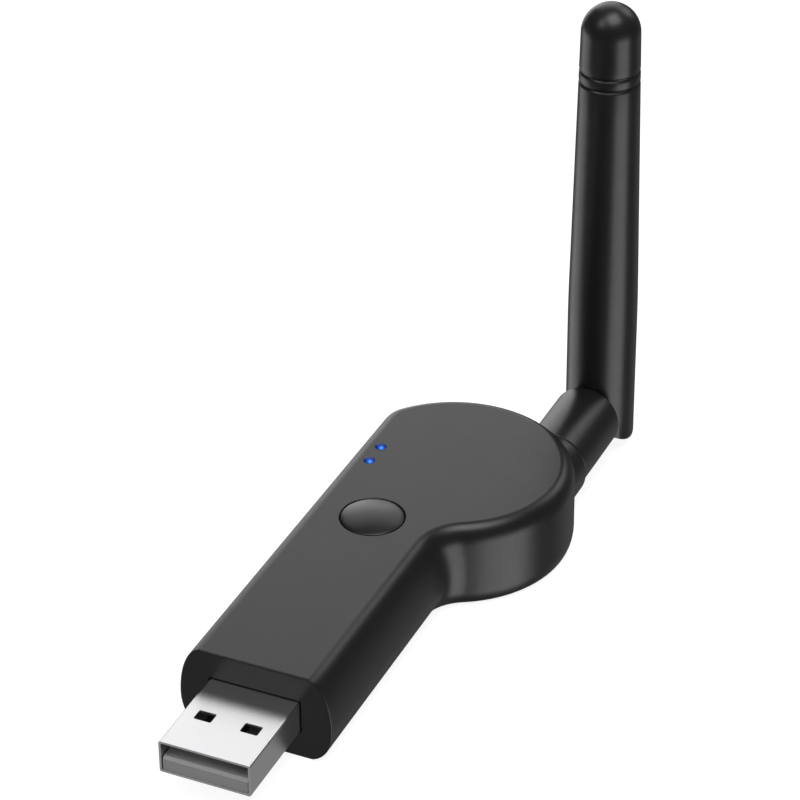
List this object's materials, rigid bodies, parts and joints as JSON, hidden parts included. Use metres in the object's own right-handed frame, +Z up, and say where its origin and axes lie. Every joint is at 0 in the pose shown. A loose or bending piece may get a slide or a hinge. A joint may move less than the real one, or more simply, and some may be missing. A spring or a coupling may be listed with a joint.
{
  "type": "usb wifi adapter",
  "caption": "Paddle-shaped USB Wi-Fi adapter with a USB-A plug, push button, status lights and a swivelling, folding whip antenna.",
  "frame": {"origin": "centre of the USB plug in the plane of the housing's front face", "axes": "+Y from the plug into the body, +Z up through the button, +X towards the side that carries the antenna"},
  "size_m": [0.0304, 0.0982, 0.0657],
  "materials": {
    "housing_plastic": "fine satin texture",
    "antenna_plastic": "satin",
    "button_plastic": "semi-gloss",
    "light_pipe": "clear, lit blue",
    "plug_steel": "bright nickel plate, faint grain",
    "tongue_plastic": "satin",
    "gold_contact": "gold plate",
    "circuit_board": "solder mask",
    "chip_plastic": "moulded",
    "tinned_steel": "tinned",
    "capacitor_ceramic": "fired ceramic",
    "led_package": "moulded",
    "cable_jacket": "smooth jacket",
    "ring_rubber": "matt",
    "pin_steel": "ground",
    "radiator_brass": "drawn",
    "radiator_copper": "bare copper wire"
  },
  "bodies": {
    "adapter_body": {"housing": "housing_plastic", "bottom_cover": "housing_plastic", "light_pipe": "light_pipe", "usb_shell": "plug_steel", "usb_tongue": "tongue_plastic", "usb_contacts": "tinned_steel", "circuit_board": "circuit_board", "wifi_chip": "chip_plastic", "shield_can": "tinned_steel", "crystal": "tinned_steel", "regulator_chip": "chip_plastic", "power_inductor": "chip_plastic", "board_capacitors": "capacitor_ceramic", "board_resistors": "chip_plastic", "status_leds": "led_package", "switch_body": "tinned_steel", "coax_socket": "gold_contact", "coax_plug": "gold_contact", "coax_lead": "cable_jacket", "friction_ring": "ring_rubber"},
    "button": {"button_cap": "button_plastic", "switch_plunger": "chip_plastic"},
    "swivel": {"antenna_barrel": "antenna_plastic", "retaining_clip": "tinned_steel", "coax_in_barrel": "cable_jacket", "pin_washers": "pin_steel"},
    "whip": {"antenna_sleeve": "antenna_plastic", "antenna_tip": "antenna_plastic", "hinge_pin": "pin_steel", "coax_in_whip": "cable_jacket", "radiator_tube": "radiator_brass", "radiator_coil": "radiator_copper"}
  },
  "joints": [
    {"name": "button_press", "type": "slide", "parent": "adapter_body", "child": "button", "axis": [0, 0, -1], "range_m": [0, 0.0003], "stiffness_N_per_m": 2000, "springref_m": -0.0002},
    {"name": "antenna_swivel", "type": "hinge", "parent": "adapter_body", "child": "swivel", "pos_m": [0.0131, 0.0627, 0], "axis": [0, 1, 0], "range_deg": [-90, 90]},
    {"name": "antenna_tilt", "type": "hinge", "parent": "swivel", "child": "whip", "pos_m": [0.0131, 0.0803, 0], "axis": [-1, 0, 0], "range_deg": [0, 90]}
  ]
}
